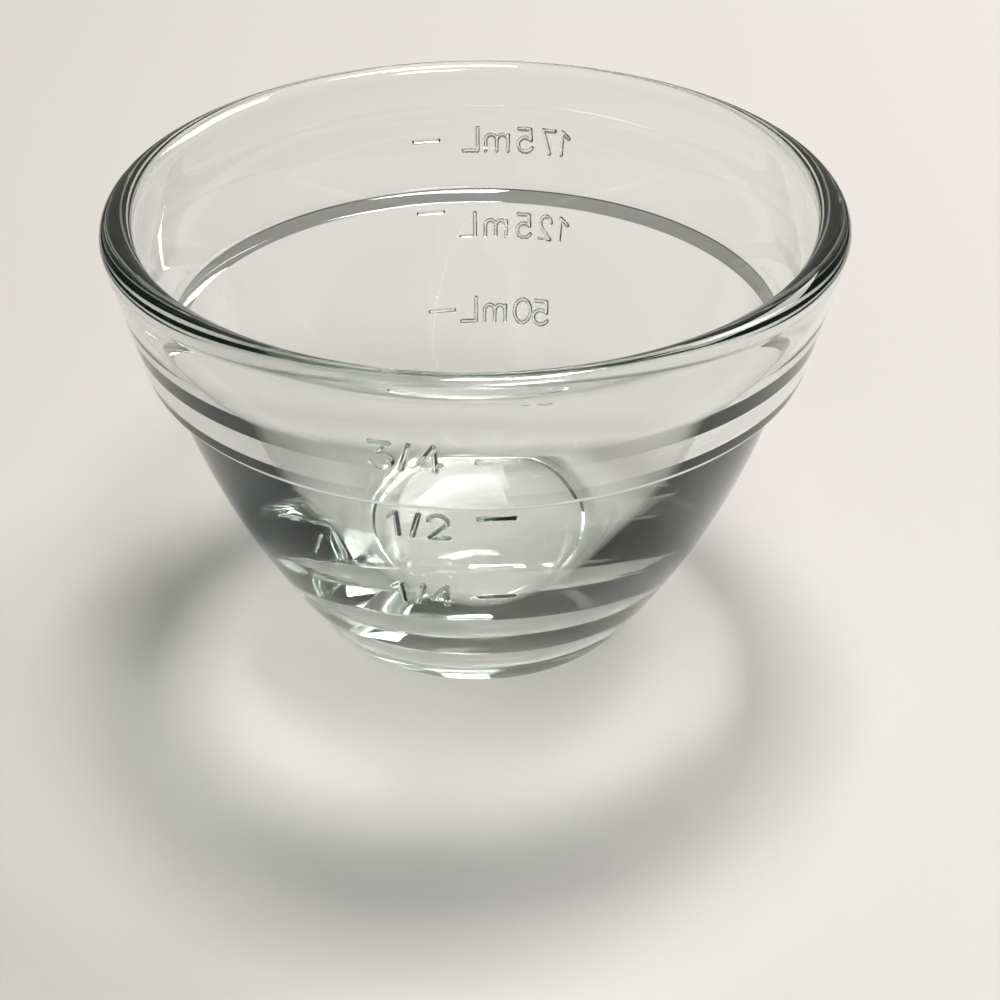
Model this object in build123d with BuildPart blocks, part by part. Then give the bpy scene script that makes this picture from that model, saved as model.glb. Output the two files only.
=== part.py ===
from build123d import *
import math
import os

# Clear pressed-glass measuring bowl: a rounded rim, a conical upper band that ends in a sloping step,
# a curved lower wall that thickens towards a foot ring, and raised scale bars on two opposite sides.
# Millimetres, +Z up, origin on the table under the bowl's axis, cup scale towards -Y.

# Rim
rim_diameter = 100.0
bowl_height = 64.8
lip_width = 4.7
rim_outer_round = 2.3
rim_inner_round = 2.3

# Upper band, leaning out from the step to the rim
band_taper = 13.3
step_height = 43.3
ledge_rise = 1.6
ledge_width = 2.66
ledge_edge_round = 0.3
step_corner_round = 0.25

# Lower wall outside: base_diameter is where it would meet the table
base_diameter = 46.0
wall_curve_radius = 118.0
heel_radius = 3.5

# Inside: level thickness of the wall at the step and at the floor, then a cone up to the mouth
step_wall = 2.84
base_wall = 7.7
inner_curve_radius = 130.0
mouth_depth = 7.7
mouth_round = 18.0
floor_thickness = 4.0
floor_corner_radius = 8.0

# Foot
foot_ring_width = 3.2
recess_depth = 0.4
recess_flare = 0.9
recess_round = 0.25

# Scale bars: on the band they are set from the ledge's edge, under the step from the step
mark_relief = 0.35
mark_height = 0.8
mark_draft = 0.12
cup_scale_azimuth = -90.0
ml_scale_azimuth = 90.0
cup_mark_length = 5.2
ml_mark_length = 4.6
cup_mark_offset = 0.2
three_quarter_cup_rise = 8.1
half_cup_drop = 1.8
quarter_cup_height = 26.0
ml_175_rise = 7.3
ml_125_drop = 1.3
ml_50_height = 27.0
ml_175_offset = 6.2
ml_125_offset = 5.5
ml_50_offset = 3.9

# Places that follow from the sizes above
rim_radius = rim_diameter / 2
base_radius = base_diameter / 2
opening_radius = rim_radius - lip_width
taper = math.radians(band_taper)
ledge_height = step_height + ledge_rise

# Where the band's straight outside would meet the top: its rounding then reaches rim_radius
rim_corner_radius = rim_radius - rim_outer_round + rim_outer_round * (1 / math.cos(taper) + math.tan(taper))


def band_radius(height):
    """Outside of the upper band."""
    return rim_corner_radius - (bowl_height - height) * math.tan(taper)


ledge_radius = band_radius(ledge_height)
wall_top_radius = ledge_radius - ledge_width

# Centre of the lower wall's arc, which bulges outwards between the base and the step
chord = math.hypot(wall_top_radius - base_radius, step_height)
to_centre = math.sqrt(wall_curve_radius**2 - (chord / 2) ** 2) / chord
centre_radius = (base_radius + wall_top_radius) / 2 - step_height * to_centre
centre_height = step_height / 2 + (wall_top_radius - base_radius) * to_centre


def outside_radius(height):
    """Outside of the band above the ledge's edge, and of the lower wall under the step."""
    if height > ledge_height:
        return band_radius(height)
    return centre_radius + math.sqrt(wall_curve_radius**2 - (height - centre_height) ** 2)


def outside_normal(height):
    """Outward normal of the band or of the lower wall, as (radial, up)."""
    if height > ledge_height:
        return math.cos(taper), -math.sin(taper)
    rise = (height - centre_height) / wall_curve_radius
    return math.sqrt(1 - rise**2), rise


os.makedirs("parts", exist_ok=True)

# Bowl: one turned profile of the whole piece of glass
foot_inner_radius = base_radius - foot_ring_width
recess_radius = foot_inner_radius - recess_flare
inner_base_radius = outside_radius(floor_thickness) - base_wall
inner_step_radius = wall_top_radius - step_wall
mouth_height = bowl_height - mouth_depth

with BuildPart() as bowl:
    with BuildSketch(Plane.XZ) as bowl_profile:
        with BuildLine():
            Polyline(
                (0, recess_depth),
                (recess_radius, recess_depth),
                (foot_inner_radius, 0),
                (base_radius, 0),
            )
            RadiusArc((base_radius, 0), (wall_top_radius, step_height), -wall_curve_radius)
            Polyline(
                (wall_top_radius, step_height),
                (ledge_radius, ledge_height),
                (rim_corner_radius, bowl_height),
                (opening_radius, bowl_height),
                (opening_radius, mouth_height),
                (inner_step_radius, step_height),
            )
            RadiusArc(
                (inner_base_radius, floor_thickness),
                (inner_step_radius, step_height),
                -inner_curve_radius,
            )
            Polyline((inner_base_radius, floor_thickness), (0, floor_thickness), (0, recess_depth))
        make_face()
        roundings = [
            ((recess_radius, recess_depth), recess_round),
            ((foot_inner_radius, 0), recess_round),
            ((base_radius, 0), heel_radius),
            ((wall_top_radius, step_height), step_corner_round),
            ((ledge_radius, ledge_height), ledge_edge_round),
            ((rim_corner_radius, bowl_height), rim_outer_round),
            ((opening_radius, bowl_height), rim_inner_round),
            ((opening_radius, mouth_height), mouth_round),
            ((inner_base_radius, floor_thickness), floor_corner_radius),
        ]
        for corner, radius in roundings:
            fillet(bowl_profile.vertices().sort_by_distance(corner)[0], radius)
    revolve(axis=Axis.Z)

bowl.part.label = "bowl"
export_step(bowl.part, "parts/bowl.step")

# Scale bars: each one follows the wall that it stands on
three_quarter_cup_height = ledge_height + three_quarter_cup_rise
half_cup_height = step_height - half_cup_drop
ml_175_height = ledge_height + ml_175_rise
ml_125_height = step_height - ml_125_drop

marks = [
    ("mark_three_quarter_cup", cup_scale_azimuth, three_quarter_cup_height, cup_mark_offset, cup_mark_length),
    ("mark_half_cup", cup_scale_azimuth, half_cup_height, cup_mark_offset, cup_mark_length),
    ("mark_quarter_cup", cup_scale_azimuth, quarter_cup_height, cup_mark_offset, cup_mark_length),
    ("mark_175_ml", ml_scale_azimuth, ml_175_height, ml_175_offset, ml_mark_length),
    ("mark_125_ml", ml_scale_azimuth, ml_125_height, ml_125_offset, ml_mark_length),
    ("mark_50_ml", ml_scale_azimuth, ml_50_height, ml_50_offset, ml_mark_length),
]

for name, azimuth, height, offset, length in marks:
    normal_out, normal_up = outside_normal(height)
    low = height - mark_height / 2 * normal_out
    high = height + mark_height / 2 * normal_out
    foot_low = (outside_radius(low), low)
    foot_high = (outside_radius(high), high)
    crest = outside_radius(height) + mark_relief * normal_out
    crest_height = height + mark_relief * normal_up
    half_crest = mark_height / 2 - mark_draft
    crest_low = (crest + half_crest * normal_up, crest_height - half_crest * normal_out)
    crest_high = (crest - half_crest * normal_up, crest_height + half_crest * normal_out)
    start = math.radians(azimuth) + offset / outside_radius(height)
    mark_plane = Plane(
        origin=(0, 0, 0),
        x_dir=(math.cos(start), math.sin(start), 0),
        z_dir=(math.sin(start), -math.cos(start), 0),
    )
    with BuildPart() as mark:
        with BuildSketch(mark_plane):
            with BuildLine():
                if height > ledge_height:
                    Line(foot_low, foot_high)
                else:
                    RadiusArc(foot_low, foot_high, -wall_curve_radius)
                Polyline(foot_high, crest_high, crest_low, foot_low)
            make_face()
        revolve(axis=Axis.Z, revolution_arc=math.degrees(length / outside_radius(height)))
    mark.part.label = name
    export_step(mark.part, f"parts/{name}.step")
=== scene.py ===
import math

import bpy
import numpy as np
from mathutils import Matrix, Vector


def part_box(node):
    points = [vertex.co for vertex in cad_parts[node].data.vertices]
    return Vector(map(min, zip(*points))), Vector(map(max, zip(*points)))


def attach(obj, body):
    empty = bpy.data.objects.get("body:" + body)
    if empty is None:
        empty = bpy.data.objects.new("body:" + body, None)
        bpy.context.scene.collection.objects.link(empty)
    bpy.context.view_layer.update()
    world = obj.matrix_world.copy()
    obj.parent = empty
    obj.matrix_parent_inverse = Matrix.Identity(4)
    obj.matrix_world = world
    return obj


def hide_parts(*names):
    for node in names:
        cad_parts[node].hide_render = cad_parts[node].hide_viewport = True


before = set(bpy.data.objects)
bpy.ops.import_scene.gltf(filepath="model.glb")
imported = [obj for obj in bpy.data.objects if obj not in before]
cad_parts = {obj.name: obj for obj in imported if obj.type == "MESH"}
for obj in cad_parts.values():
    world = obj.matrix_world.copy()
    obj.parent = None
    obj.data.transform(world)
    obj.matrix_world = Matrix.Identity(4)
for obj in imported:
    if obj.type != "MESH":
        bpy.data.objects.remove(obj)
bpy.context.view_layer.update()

MM = 0.001

# Glass, in millimetres: the rim and the height come from the frame, the rest follows the part's source.
# The ledge's edge and the mouth are rounded more softly than in the solid, to suit the photo's refraction.
bowl_low, bowl_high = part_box("bowl")
RIM_RADIUS = (bowl_high.x - bowl_low.x) / 2 / MM
HEIGHT = bowl_high.z / MM
LIP_WIDTH = 4.7
RIM_ROUND = 2.3
BAND_TAPER = math.radians(13.3)
STEP_HEIGHT = 43.3
LEDGE_RISE = 1.6
LEDGE_WIDTH = 2.66
LEDGE_EDGE_ROUND = 1.6
STEP_CORNER_ROUND = 0.25
BASE_RADIUS = 23.0
WALL_CURVE = 118.0
HEEL_ROUND = 3.5
STEP_WALL = 2.84
BASE_WALL = 7.7
INNER_CURVE = 130.0
MOUTH_DEPTH = 7.7
MOUTH_ROUND = 30.0
FLOOR_THICKNESS = 4.0
FLOOR_ROUND = 8.0
FOOT_RING = 3.2
RECESS_DEPTH = 0.4
RECESS_FLARE = 0.9
RECESS_ROUND = 0.25

# Raised scales, in millimetres: height above the wall, half a stroke's width, and a bar's sloping edge
RELIEF = 0.42
STROKE_HALF = 0.38
BAR_EDGE = 0.34
CUP_AZIMUTH = -math.pi / 2
ML_AZIMUTH = math.pi / 2

# Glass: tint, refraction, absorption per metre, and the surface's slow ripple (its height in millimetres)
GLASS_TINT = (0.99, 1.0, 0.995, 1.0)
GLASS_IOR = 1.52
GLASS_BODY = (0.67, 0.70, 0.665, 1.0)
GLASS_DENSITY = 34.0
RIPPLE_HEIGHT = 0.05
RIPPLE_SCALE = 55.0

# Mesh: spacing along the profile and round the bowl, finer where the scales stand
FINE_STEP = 0.13
SHELF_STEP = 0.4
WALL_STEP = 0.8
RIM_TURN = math.radians(3)
ROUND_TURN = math.radians(4)
CORNER_STEPS = 8
MOUTH_STEPS = 10
SAME_PLACE = 1e-4
COARSE_TURN = math.radians(1.1)
SCALE_RADIUS = RIM_RADIUS * 0.9
CUP_SECTOR = (-0.33, 0.17)
ML_SECTOR = (-0.36, 0.27)

# Labels on the mesh: margin of fine rows, the turn within which a label lies, and where bars can start.
# The last three keep a slope, a first distance and a length in bounds.
LABEL_MARGIN = 0.8
LABEL_TURN = 0.4
LOWEST_BAR = 1.0
LEAST_STEEPNESS = 0.5
FAR_OFF = 1e3
TINY = 1e-12

# Camera, fitted to the photograph: places in rim radii, picture of 1000 pixels
FOCAL_PIXELS = 2000.0
PICTURE = 1000.0
SENSOR = 36.0
CAMERA_SIDE = 0.063
CAMERA_BACK = 4.898
CAMERA_UP = 3.599
CAMERA_PITCH = math.radians(33.85)
CAMERA_ROLL = math.radians(-0.17)

# Light paths: glass needs many bounces
BOUNCES = 40
GLOSS_BLUR = 0.3

# Floor: it lies a hair (in millimetres) under the foot so that no two faces coincide, and fades to a painted
# shade, which stands in for the dim room beyond the table, between two distances from the bowl's axis (in
# metres)
FLOOR_GAP = 0.05
FLOOR_HALF = 3.0
TABLE_COLOUR = (0.78, 0.745, 0.69, 1.0)
TABLE_FAR_SHADE = (0.03, 0.03, 0.03, 1.0)
TABLE_SHADE_FADE = (0.29, 0.42)
TABLE_ROUGHNESS = 0.45

# Room: two dark tones in patches, then paler sides, each with the axis of the view's direction, where on it
# the side starts and is full, and its colour
ROOM_SHADE = (0.006, 0.008, 0.009, 1.0)
ROOM_WALL = (0.02, 0.028, 0.033, 1.0)
ROOM_PATCH = 2.4
ROOM_RAMP = (0.40, 0.60)
ROOM_PALE = [
    ("Z", 0.75, 1.0, (0.12, 0.12, 0.12, 1.0)),
    ("Y", 0.55, 0.85, (0.34, 0.33, 0.31, 1.0)),
    ("Y", -0.2, -0.6, (0.06, 0.11, 0.145, 1.0)),
]

# Lamps: name, place and size in metres, power in watts, colour
LAMPS = [
    ("back", (0.08, 0.36, 1.15), 0.3, 7.0, (1.0, 0.985, 0.965)),
    ("front", (0.19, -0.35, 1.15), 0.3, 3.0, (0.97, 0.99, 1.0)),
    ("window", (0.45, 0.45, 0.7), 0.4, 3.6, (1.0, 0.99, 0.98)),
]

# Labels: the bar's node, the scale's azimuth, the numerals' height, their middle above the bar, and each
# character with its left and right ends along the wall from the scale's centre line
LABELS = [
    ("mark_three_quarter_cup", CUP_AZIMUTH, 4.6, 0.4,
     [("3", -12.5, -9.5), ("/", -8.9, -7.3), ("4", -6.6, -3.7)]),
    ("mark_half_cup", CUP_AZIMUTH, 4.6, -1.6,
     [("1", -11.0, -9.3), ("/", -8.2, -6.7), ("2", -5.9, -3.15)]),
    ("mark_quarter_cup", CUP_AZIMUTH, 4.6, 0.0,
     [("1", -10.8, -9.0), ("/", -8.0, -6.4), ("4", -5.7, -3.0)]),
    ("mark_175_ml", ML_AZIMUTH, 4.1, 0.0,
     [("1", -14.75, -12.9), ("7", -12.4, -10.1), ("5", -8.8, -6.1), ("m", -4.9, -0.9), ("L", 0.0, 2.7)]),
    ("mark_125_ml", ML_AZIMUTH, 4.1, -2.2,
     [("1", -14.7, -12.75), ("2", -12.0, -9.8), ("5", -8.6, -6.0), ("m", -4.6, -0.8), ("L", 0.5, 3.2)]),
    ("mark_50_ml", ML_AZIMUTH, 4.1, 0.0,
     [("5", -11.5, -8.75), ("0", -8.6, -5.55), ("m", -4.4, -0.6), ("L", 0.4, 3.2)]),
]


# Stroke font in a unit box

def bend(centre, across, up, start, end, count=14):
    """Points on an elliptical arc, angles in degrees."""
    turns = [math.radians(start + (end - start) * i / count) for i in range(count + 1)]
    return [(centre[0] + across * math.cos(t), centre[1] + up * math.sin(t)) for t in turns]


GLYPHS = {
    "0": [bend((0.5, 0.5), 0.5, 0.5, 0, 360, 28)],
    "1": [[(0.0, 0.74), (0.75, 1.0), (0.75, 0.0)]],
    "2": [bend((0.5, 0.7), 0.48, 0.3, 170, -35) + [(0.0, 0.0), (1.0, 0.0)]],
    "3": [[(0.05, 1.0), (0.95, 1.0), (0.42, 0.6)] + bend((0.46, 0.3), 0.52, 0.3, 80, -150)],
    "4": [[(0.74, 0.0), (0.74, 1.0), (0.0, 0.27), (1.0, 0.27)]],
    "5": [[(0.95, 1.0), (0.16, 1.0), (0.08, 0.52)] + bend((0.46, 0.31), 0.52, 0.31, 125, -155)],
    "7": [[(0.0, 1.0), (1.0, 1.0), (0.36, 0.0)]],
    "/": [[(0.0, 0.0), (1.0, 1.0)]],
    "m": [[(0.0, 0.0), (0.0, 0.7)], bend((0.25, 0.45), 0.25, 0.25, 180, 0) + [(0.5, 0.0)],
          bend((0.75, 0.45), 0.25, 0.25, 180, 0) + [(1.0, 0.0)]],
    "L": [[(0.0, 1.0), (0.0, 0.0), (1.0, 0.0)]],
}


# Profile of the glass: rows of radius, height and outward normal, with the glass on the left of the way round

def direction(start, end):
    length = math.dist(start, end)
    return (end[0] - start[0]) / length, (end[1] - start[1]) / length


def along(point, way, length):
    return point[0] + way[0] * length, point[1] + way[1] * length


def spaced(length, step_at):
    """Distances from 0 to length with a step that may change on the way."""
    places = [0.0]
    while places[-1] < length:
        places.append(places[-1] + step_at(places[-1]))
    return [p * length / places[-1] for p in places]


def straight(start, end, step, fine=None):
    way = direction(start, end)

    def step_at(s):
        return FINE_STEP if fine and fine(start[1] + way[1] * s) else step

    places = spaced(math.dist(start, end), step_at)
    return [(*along(start, way, s), way[1], -way[0]) for s in places]


def arc(centre, radius, start, end, step, fine=None):
    """Arc whose normals point away from its centre on a left turn, and towards it on a right turn."""
    side = 1 if end > start else -1

    def step_at(s):
        height = centre[1] + radius * math.sin(start + side * s / radius)
        return FINE_STEP if fine and fine(height) else step

    rows = []
    for s in spaced(abs(end - start) * radius, step_at):
        a = start + side * s / radius
        out = (math.cos(a), math.sin(a))
        rows.append((*along(centre, out, radius), side * out[0], side * out[1]))
    return rows


def corner_run(before, after, radius):
    """Length that a rounding takes off each side of a corner between two directions, and its turn."""
    cross = before[0] * after[1] - before[1] * after[0]
    dot = before[0] * after[0] + before[1] * after[1]
    turn = math.atan2(cross, dot)
    return radius * math.tan(abs(turn) / 2), turn


def rounding(corner, before, after, radius, count=CORNER_STEPS):
    run, turn = corner_run(before, after, radius)
    side = 1 if turn > 0 else -1
    start = along(corner, before, -run)
    centre = (start[0] - side * before[1] * radius, start[1] + side * before[0] * radius)
    first = math.atan2(-side * before[0], side * before[1])
    return arc(centre, radius, first, first + turn, abs(turn) * radius / count)


def arc_centre(low, high, radius):
    """Centre of an arc that bulges outwards between two points."""
    chord = math.dist(low, high)
    reach = math.sqrt(radius ** 2 - (chord / 2) ** 2) / chord
    return ((low[0] + high[0]) / 2 - (high[1] - low[1]) * reach,
            (low[1] + high[1]) / 2 + (high[0] - low[0]) * reach)


def arc_radius(centre, radius, height):
    """How far from the axis an arc is at a height."""
    return centre[0] + math.sqrt(radius ** 2 - (height - centre[1]) ** 2)


def bearing(centre, point):
    return math.atan2(point[1] - centre[1], point[0] - centre[0])


def glass_profile(fine):
    """Rows from the middle of the underside round the rim to the middle of the floor."""
    ledge_height = STEP_HEIGHT + LEDGE_RISE
    slope = math.tan(BAND_TAPER)
    rim_corner = RIM_RADIUS - RIM_ROUND + RIM_ROUND * (1 / math.cos(BAND_TAPER) + slope)
    ledge = (rim_corner - (HEIGHT - ledge_height) * slope, ledge_height)
    wall_top = (ledge[0] - LEDGE_WIDTH, STEP_HEIGHT)
    wall = arc_centre((BASE_RADIUS, 0.0), wall_top, WALL_CURVE)
    foot = (BASE_RADIUS - FOOT_RING, 0.0)
    recess = (foot[0] - RECESS_FLARE, RECESS_DEPTH)
    outward = (1.0, 0.0)

    # Underside
    flare = direction(recess, foot)
    recess_run, _ = corner_run(outward, flare, RECESS_ROUND)
    heel = (arc_radius(wall, WALL_CURVE - HEEL_ROUND, HEEL_ROUND), HEEL_ROUND)
    heel_turn = bearing(wall, heel)
    rows = straight((0.0, RECESS_DEPTH), along(recess, outward, -recess_run), WALL_STEP)
    rows += rounding(recess, outward, flare, RECESS_ROUND)
    rows += rounding(foot, flare, outward, RECESS_ROUND)
    rows += straight(along(foot, outward, recess_run), (heel[0], 0.0), WALL_STEP)
    rows += arc(heel, HEEL_ROUND, -math.pi / 2, heel_turn, HEEL_ROUND * ROUND_TURN)

    # Outside: curved wall, step, band and rim
    top_turn = bearing(wall, wall_top)
    climb = (-math.sin(top_turn), math.cos(top_turn))
    shelf = direction(wall_top, ledge)
    band = (math.sin(BAND_TAPER), math.cos(BAND_TAPER))
    step_run, _ = corner_run(climb, shelf, STEP_CORNER_ROUND)
    edge_run, _ = corner_run(shelf, band, LEDGE_EDGE_ROUND)
    rim = (RIM_RADIUS - RIM_ROUND, HEIGHT - RIM_ROUND)
    touch = (rim[0] + RIM_ROUND * band[1], rim[1] - RIM_ROUND * band[0])
    rim_step = RIM_ROUND * RIM_TURN
    rows += arc(wall, WALL_CURVE, heel_turn, top_turn - step_run / WALL_CURVE, WALL_STEP, fine)
    rows += rounding(wall_top, climb, shelf, STEP_CORNER_ROUND)
    rows += straight(along(wall_top, shelf, step_run), along(ledge, shelf, -edge_run), SHELF_STEP)
    rows += rounding(ledge, shelf, band, LEDGE_EDGE_ROUND)
    rows += straight(along(ledge, band, edge_run), touch, WALL_STEP, fine)
    rows += arc(rim, RIM_ROUND, -BAND_TAPER, 0.0, rim_step)
    rows += arc(rim, RIM_ROUND, 0.0, math.pi / 2, rim_step)

    # Inside: rim, mouth, cone, curved wall and floor. The rim turns left here too, and below it each arc
    # is run through clockwise
    opening = RIM_RADIUS - LIP_WIDTH
    mouth = (opening, HEIGHT - MOUTH_DEPTH)
    inner_top = (wall_top[0] - STEP_WALL, STEP_HEIGHT)
    floor_edge = arc_radius(wall, WALL_CURVE, FLOOR_THICKNESS) - BASE_WALL
    inner = arc_centre((floor_edge, FLOOR_THICKNESS), inner_top, INNER_CURVE)
    down = (0.0, -1.0)
    cone = direction(mouth, inner_top)
    mouth_run, _ = corner_run(down, cone, MOUTH_ROUND)
    floor_up = FLOOR_THICKNESS + FLOOR_ROUND
    floor_round = (arc_radius(inner, INNER_CURVE - FLOOR_ROUND, floor_up), floor_up)
    inner_turn = bearing(inner, inner_top)
    floor_turn = bearing(inner, floor_round)
    rows += arc((opening + RIM_ROUND, rim[1]), RIM_ROUND, math.pi / 2, math.pi, rim_step)
    rows += straight((opening, rim[1]), along(mouth, down, -mouth_run), WALL_STEP)
    rows += rounding(mouth, down, cone, MOUTH_ROUND, MOUTH_STEPS)
    rows += straight(along(mouth, cone, mouth_run), inner_top, WALL_STEP)
    rows += arc(inner, INNER_CURVE, inner_turn, floor_turn, WALL_STEP)
    rows += arc(floor_round, FLOOR_ROUND, floor_turn, -math.pi / 2, FLOOR_ROUND * ROUND_TURN)
    rows += straight((floor_round[0], FLOOR_THICKNESS), (0.0, FLOOR_THICKNESS), WALL_STEP)

    kept = [rows[0]]
    for row in rows[1:]:
        if math.dist(row[:2], kept[-1][:2]) > SAME_PLACE:
            kept.append(row)
    return np.array(kept)


def columns():
    """Angles round the bowl, finer across the two scales."""
    dense = FINE_STEP / SCALE_RADIUS
    cup_start = CUP_AZIMUTH + CUP_SECTOR[0]
    cup_end = CUP_AZIMUTH + CUP_SECTOR[1]
    ml_start = ML_AZIMUTH + ML_SECTOR[0]
    ml_end = ML_AZIMUTH + ML_SECTOR[1]
    stretches = [
        (-math.pi, cup_start, COARSE_TURN),
        (cup_start, CUP_AZIMUTH, dense),
        (CUP_AZIMUTH, cup_end, dense),
        (cup_end, 0.0, COARSE_TURN),
        (0.0, ml_start, COARSE_TURN),
        (ml_start, ML_AZIMUTH, dense),
        (ML_AZIMUTH, ml_end, dense),
        (ml_end, math.pi, COARSE_TURN),
    ]
    angles = []
    for start, end, step in stretches:
        count = math.ceil((end - start) / step)
        angles.append(np.linspace(start, end, count, endpoint=False))
    return np.concatenate(angles)


# Raised scales

def smooth(value):
    value = np.clip(value, 0.0, 1.0)
    return value * value * (3 - 2 * value)


def stroke_distance(x, y, points):
    """How far each place is from a line through the points."""
    nearest = np.full(x.shape, FAR_OFF)
    for (x0, y0), (x1, y1) in zip(points, points[1:]):
        dx, dy = x1 - x0, y1 - y0
        t = np.clip(((x - x0) * dx + (y - y0) * dy) / (dx * dx + dy * dy), 0.0, 1.0)
        nearest = np.minimum(nearest, np.hypot(x - x0 - t * dx, y - y0 - t * dy))
    return nearest


def numeral_distance(x, y, tall, above, characters):
    """How far each place is from the nearest stroke of a label's characters."""
    nearest = np.full(x.shape, FAR_OFF)
    inset = STROKE_HALF / 2
    box_height = tall - 2 * inset
    for character, left, right in characters:
        box_width = right - left - 2 * inset
        for points in GLYPHS[character]:
            placed = [(left + inset + across * box_width, above - box_height / 2 + up * box_height)
                      for across, up in points]
            nearest = np.minimum(nearest, stroke_distance(x, y, placed))
    return nearest


def raised(rows, angles):
    """How far each point of the profile's rows and columns stands out from the plain glass."""
    lift = np.zeros((len(rows), len(angles)))
    run = np.concatenate([[0.0], np.cumsum(np.hypot(np.diff(rows[:, 0]), np.diff(rows[:, 1])))])
    outside = np.arange(len(rows)) < int(np.argmax(rows[:, 0]))
    wall_rows = np.where(outside & (rows[:, 1] > LOWEST_BAR))[0]
    for node, azimuth, tall, above, characters in LABELS:
        # The bar's row, and places on the wall from the bar's height and the scale's centre line
        low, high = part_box(node)
        bar_height = (low.z + high.z) / 2 / MM
        row = wall_rows[np.argmin(abs(rows[wall_rows, 1] - bar_height))]
        radius = rows[row, 0]
        y_row = run - run[row] - (bar_height - rows[row, 1]) / max(rows[row, 2], LEAST_STEEPNESS)
        window = np.where(outside & (abs(y_row) < tall))[0]
        sector = np.where(abs(angles - azimuth) < LABEL_TURN)[0]
        x = (angles[sector] - azimuth)[None, :] * np.full((len(window), 1), radius)
        y = np.repeat(y_row[window][:, None], len(sector), axis=1)

        # Numerals have sloping sides up to a crest, bars have a flat top with a soft edge
        ink = numeral_distance(x, y, tall, above, characters)
        rise = np.clip(1 - ink / STROKE_HALF, 0.0, 1.0)
        side = 1 if azimuth == CUP_AZIMUTH else -1
        ends = sorted(side * math.asin(end / MM / (radius + RELIEF)) for end in (low.x, high.x))
        middle = (ends[0] + ends[1]) / 2 * radius
        half_length = (ends[1] - ends[0]) / 2 * radius
        half_height = (high.z - low.z) / 2 / MM
        beyond = np.maximum(abs(x - middle) - half_length, abs(y) - half_height)
        rise = np.maximum(rise, smooth(-beyond / BAR_EDGE))
        place = np.ix_(window, sector)
        lift[place] = np.maximum(lift[place], RELIEF * rise)
    return lift


def label_bands():
    """Heights between which the wall's rows are fine."""
    bands = []
    for node, _, tall, above, _ in LABELS:
        low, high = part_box(node)
        middle = (low.z + high.z) / 2 / MM
        lowest = middle + min(above - tall / 2, 0.0) - LABEL_MARGIN
        highest = middle + max(above + tall / 2, 0.0) + LABEL_MARGIN
        bands.append((lowest, highest))
    return bands


def lathe(name, rows, angles, lift):
    """Turned mesh whose first and last rows are single points, with its own normals."""
    out = rows[:, 2][:, None]
    up = rows[:, 3][:, None]
    radius = rows[:, 0][:, None] + lift * out
    height = rows[:, 1][:, None] + lift * up
    cos, sin = np.cos(angles)[None, :], np.sin(angles)[None, :]
    grid = np.stack([radius * cos, radius * sin, height * np.ones_like(cos)], axis=2)
    plain = np.stack([out * cos, out * sin, np.repeat(up, len(angles), axis=1)], axis=2)

    # The plain glass has the profile's exact normals, and the raised marks have the normals of their slopes
    along_rows = np.gradient(grid, axis=0)
    around = np.roll(grid, -1, axis=1) - np.roll(grid, 1, axis=1)
    bent = np.cross(around, along_rows)
    bent /= np.maximum(np.linalg.norm(bent, axis=2, keepdims=True), TINY)
    near = lift > 0
    for axis in (0, 1):
        near = near | np.roll(near, 1, axis=axis) | np.roll(near, -1, axis=axis)
    normals = np.where(near[:, :, None], bent, plain)

    # A fan at each end, and a ring of quads between each two rows
    count = len(angles)
    verts = np.concatenate([grid[:1, 0], grid[1:-1].reshape(-1, 3), grid[-1:, 0]]) * MM
    all_normals = np.concatenate([plain[:1, 0], normals[1:-1].reshape(-1, 3), plain[-1:, 0]])
    i = np.arange(count)
    j = (i + 1) % count
    first, last = 0, len(verts) - 1
    faces = [(first, int(b), int(a)) for a, b in zip(1 + i, 1 + j)]
    for k in range(len(rows) - 3):
        p, q = 1 + k * count, 1 + (k + 1) * count
        faces.extend(np.stack([p + i, p + j, q + j, q + i], axis=1).tolist())
    base = 1 + (len(rows) - 3) * count
    faces.extend((int(base + a), int(base + b), last) for a, b in zip(i, j))
    mesh = bpy.data.meshes.new(name)
    mesh.from_pydata(verts.tolist(), [], faces)
    mesh.polygons.foreach_set("use_smooth", [True] * len(mesh.polygons))
    mesh.normals_split_custom_set_from_vertices(all_normals.tolist())
    obj = bpy.data.objects.new(name, mesh)
    bpy.context.scene.collection.objects.link(obj)
    return obj


def clear_glass():
    """Pressed glass: a faint grey-green body, and a polished surface that is a little uneven."""
    material = bpy.data.materials.new("clear_glass")
    material.use_nodes = True
    nodes, links = material.node_tree.nodes, material.node_tree.links
    shader = nodes["Principled BSDF"]
    shader.inputs["Base Color"].default_value = GLASS_TINT
    shader.inputs["IOR"].default_value = GLASS_IOR
    shader.inputs["Transmission Weight"].default_value = 1.0
    shader.inputs["Roughness"].default_value = 0.0

    body = nodes.new("ShaderNodeVolumeAbsorption")
    body.inputs["Color"].default_value = GLASS_BODY
    body.inputs["Density"].default_value = GLASS_DENSITY
    links.new(body.outputs["Volume"], nodes["Material Output"].inputs["Volume"])

    place = nodes.new("ShaderNodeTexCoord")
    ripple = nodes.new("ShaderNodeTexNoise")
    ripple.inputs["Scale"].default_value = RIPPLE_SCALE
    ripple.inputs["Detail"].default_value = 1.0
    bump = nodes.new("ShaderNodeBump")
    bump.inputs["Strength"].default_value = 1.0
    bump.inputs["Distance"].default_value = RIPPLE_HEIGHT * MM
    links.new(place.outputs["Object"], ripple.inputs["Vector"])
    links.new(ripple.outputs["Fac"], bump.inputs["Height"])
    links.new(bump.outputs["Normal"], shader.inputs["Normal"])
    return material


bands = label_bands()
profile = glass_profile(lambda z: any(low < z < high for low, high in bands))
turns = columns()
bowl = lathe("glass_bowl", profile, turns, raised(profile, turns))
bowl.data.materials.append(clear_glass())
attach(bowl, "root")
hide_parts("bowl", *[label[0] for label in LABELS])


# Stage

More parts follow.
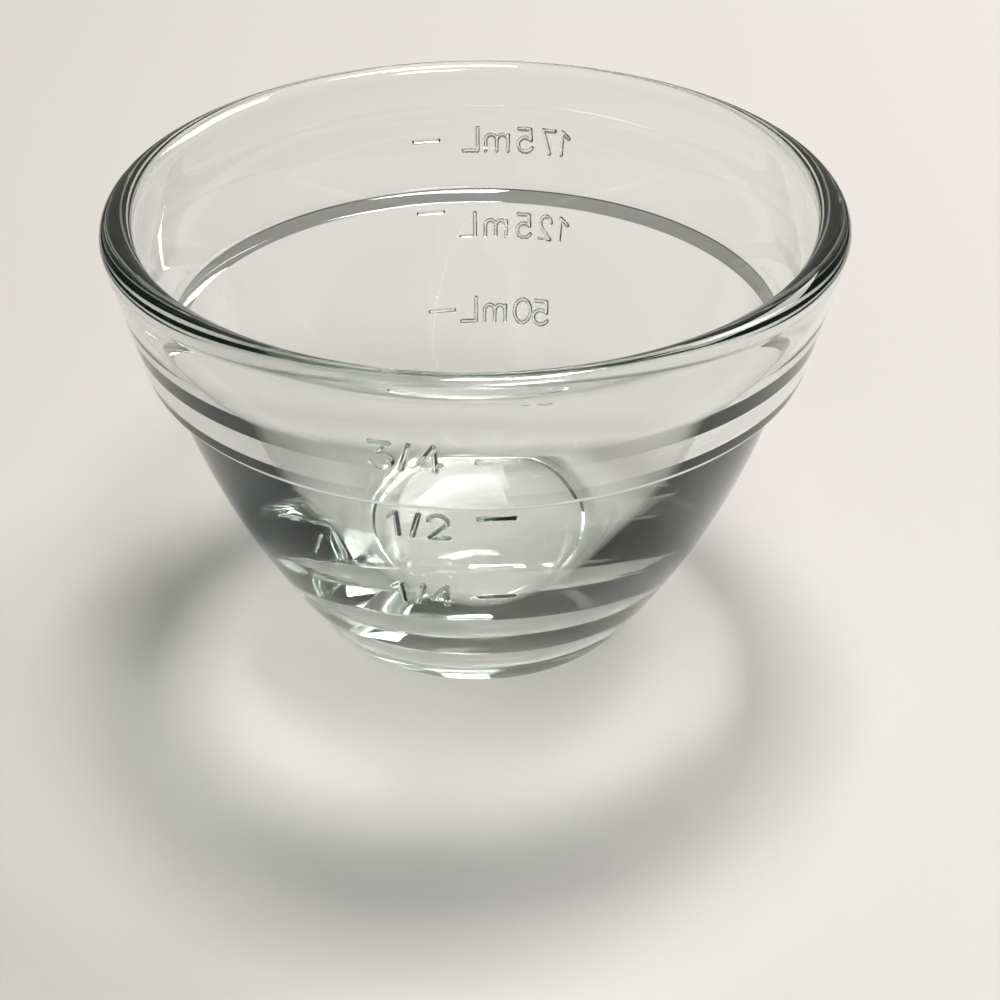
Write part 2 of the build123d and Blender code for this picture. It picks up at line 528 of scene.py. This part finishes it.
def table_material():
    """Pale table that fades to a painted dark shade, in place of the dim room, with the distance from the
    bowl's axis.
    """
    material = bpy.data.materials.new("pale_table")
    material.use_nodes = True
    nodes, links = material.node_tree.nodes, material.node_tree.links
    shader = nodes["Principled BSDF"]
    shader.inputs["Roughness"].default_value = TABLE_ROUGHNESS
    place = nodes.new("ShaderNodeTexCoord")
    distance = nodes.new("ShaderNodeVectorMath")
    distance.operation = "LENGTH"
    shade_fade = nodes.new("ShaderNodeMapRange")
    shade_fade.interpolation_type = "SMOOTHSTEP"
    shade_fade.inputs["From Min"].default_value = TABLE_SHADE_FADE[0]
    shade_fade.inputs["From Max"].default_value = TABLE_SHADE_FADE[1]
    # Painted shade: far from the bowl the table colour turns dark, standing in for the dim room beyond the
    # table
    tint = nodes.new("ShaderNodeMix")
    tint.data_type = "RGBA"
    tint.inputs["A"].default_value = TABLE_COLOUR
    tint.inputs["B"].default_value = TABLE_FAR_SHADE
    links.new(place.outputs["Object"], distance.inputs[0])
    links.new(distance.outputs["Value"], shade_fade.inputs["Value"])
    links.new(shade_fade.outputs[0], tint.inputs["Factor"])
    links.new(tint.outputs["Result"], shader.inputs["Base Color"])
    return material


def floor_plane():
    low = -FLOOR_GAP * MM
    corners = [(x * FLOOR_HALF, y * FLOOR_HALF, low) for x, y in ((-1, -1), (1, -1), (1, 1), (-1, 1))]
    mesh = bpy.data.meshes.new("floor")
    mesh.from_pydata(corners, [], [(0, 1, 2, 3)])
    obj = bpy.data.objects.new("floor", mesh)
    bpy.context.scene.collection.objects.link(obj)
    mesh.materials.append(table_material())


def area_light(name, place, size, power, colour):
    """Square lamp that faces the bowl's foot."""
    data = bpy.data.lights.new(name, "AREA")
    data.size = size
    data.energy = power
    data.color = colour
    obj = bpy.data.objects.new(name, data)
    obj.location = place
    obj.rotation_euler = (-Vector(place)).to_track_quat("-Z", "Y").to_euler()
    bpy.context.scene.collection.objects.link(obj)


def room():
    """Dim room: dark patches, grey overhead, pale behind the table and dim blue behind the camera."""
    world = bpy.data.worlds.new("room")
    world.use_nodes = True
    nodes, links = world.node_tree.nodes, world.node_tree.links
    place = nodes.new("ShaderNodeTexCoord")
    axes = nodes.new("ShaderNodeSeparateXYZ")
    links.new(place.outputs["Generated"], axes.inputs[0])
    patches = nodes.new("ShaderNodeTexNoise")
    patches.inputs["Scale"].default_value = ROOM_PATCH
    links.new(place.outputs["Generated"], patches.inputs["Vector"])
    tone = nodes.new("ShaderNodeValToRGB")
    tone.color_ramp.interpolation = "EASE"
    for element, position, shade in zip(tone.color_ramp.elements, ROOM_RAMP, (ROOM_SHADE, ROOM_WALL)):
        element.position = position
        element.color = shade
    links.new(patches.outputs["Fac"], tone.inputs["Fac"])
    colour = tone.outputs["Color"]
    for axis, start, end, pale in ROOM_PALE:
        share = nodes.new("ShaderNodeMapRange")
        share.interpolation_type = "SMOOTHSTEP"
        share.inputs["From Min"].default_value = start
        share.inputs["From Max"].default_value = end
        links.new(axes.outputs[axis], share.inputs["Value"])
        mix = nodes.new("ShaderNodeMix")
        mix.data_type = "RGBA"
        mix.inputs["B"].default_value = pale
        links.new(colour, mix.inputs["A"])
        links.new(share.outputs[0], mix.inputs["Factor"])
        colour = mix.outputs["Result"]
    links.new(colour, nodes["Background"].inputs["Color"])
    bpy.context.scene.world = world


floor_plane()
for lamp in LAMPS:
    area_light(*lamp)
room()


# Camera

def camera():
    data = bpy.data.cameras.new("camera")
    data.sensor_width = SENSOR
    data.lens = FOCAL_PIXELS / PICTURE * SENSOR
    obj = bpy.data.objects.new("camera", data)
    unit = RIM_RADIUS * MM
    turn = Matrix.Rotation(math.pi / 2 - CAMERA_PITCH, 4, "X") @ Matrix.Rotation(CAMERA_ROLL, 4, "Z")
    obj.matrix_world = Matrix.Translation((CAMERA_SIDE * unit, -CAMERA_BACK * unit, CAMERA_UP * unit)) @ turn
    bpy.context.scene.collection.objects.link(obj)
    bpy.context.scene.camera = obj


camera()
bpy.context.scene.view_settings.view_transform = "Standard"
cycles = bpy.context.scene.cycles
cycles.sample_clamp_indirect = 0.0
cycles.blur_glossy = GLOSS_BLUR
cycles.max_bounces = BOUNCES
cycles.glossy_bounces = BOUNCES
cycles.transmission_bounces = BOUNCES
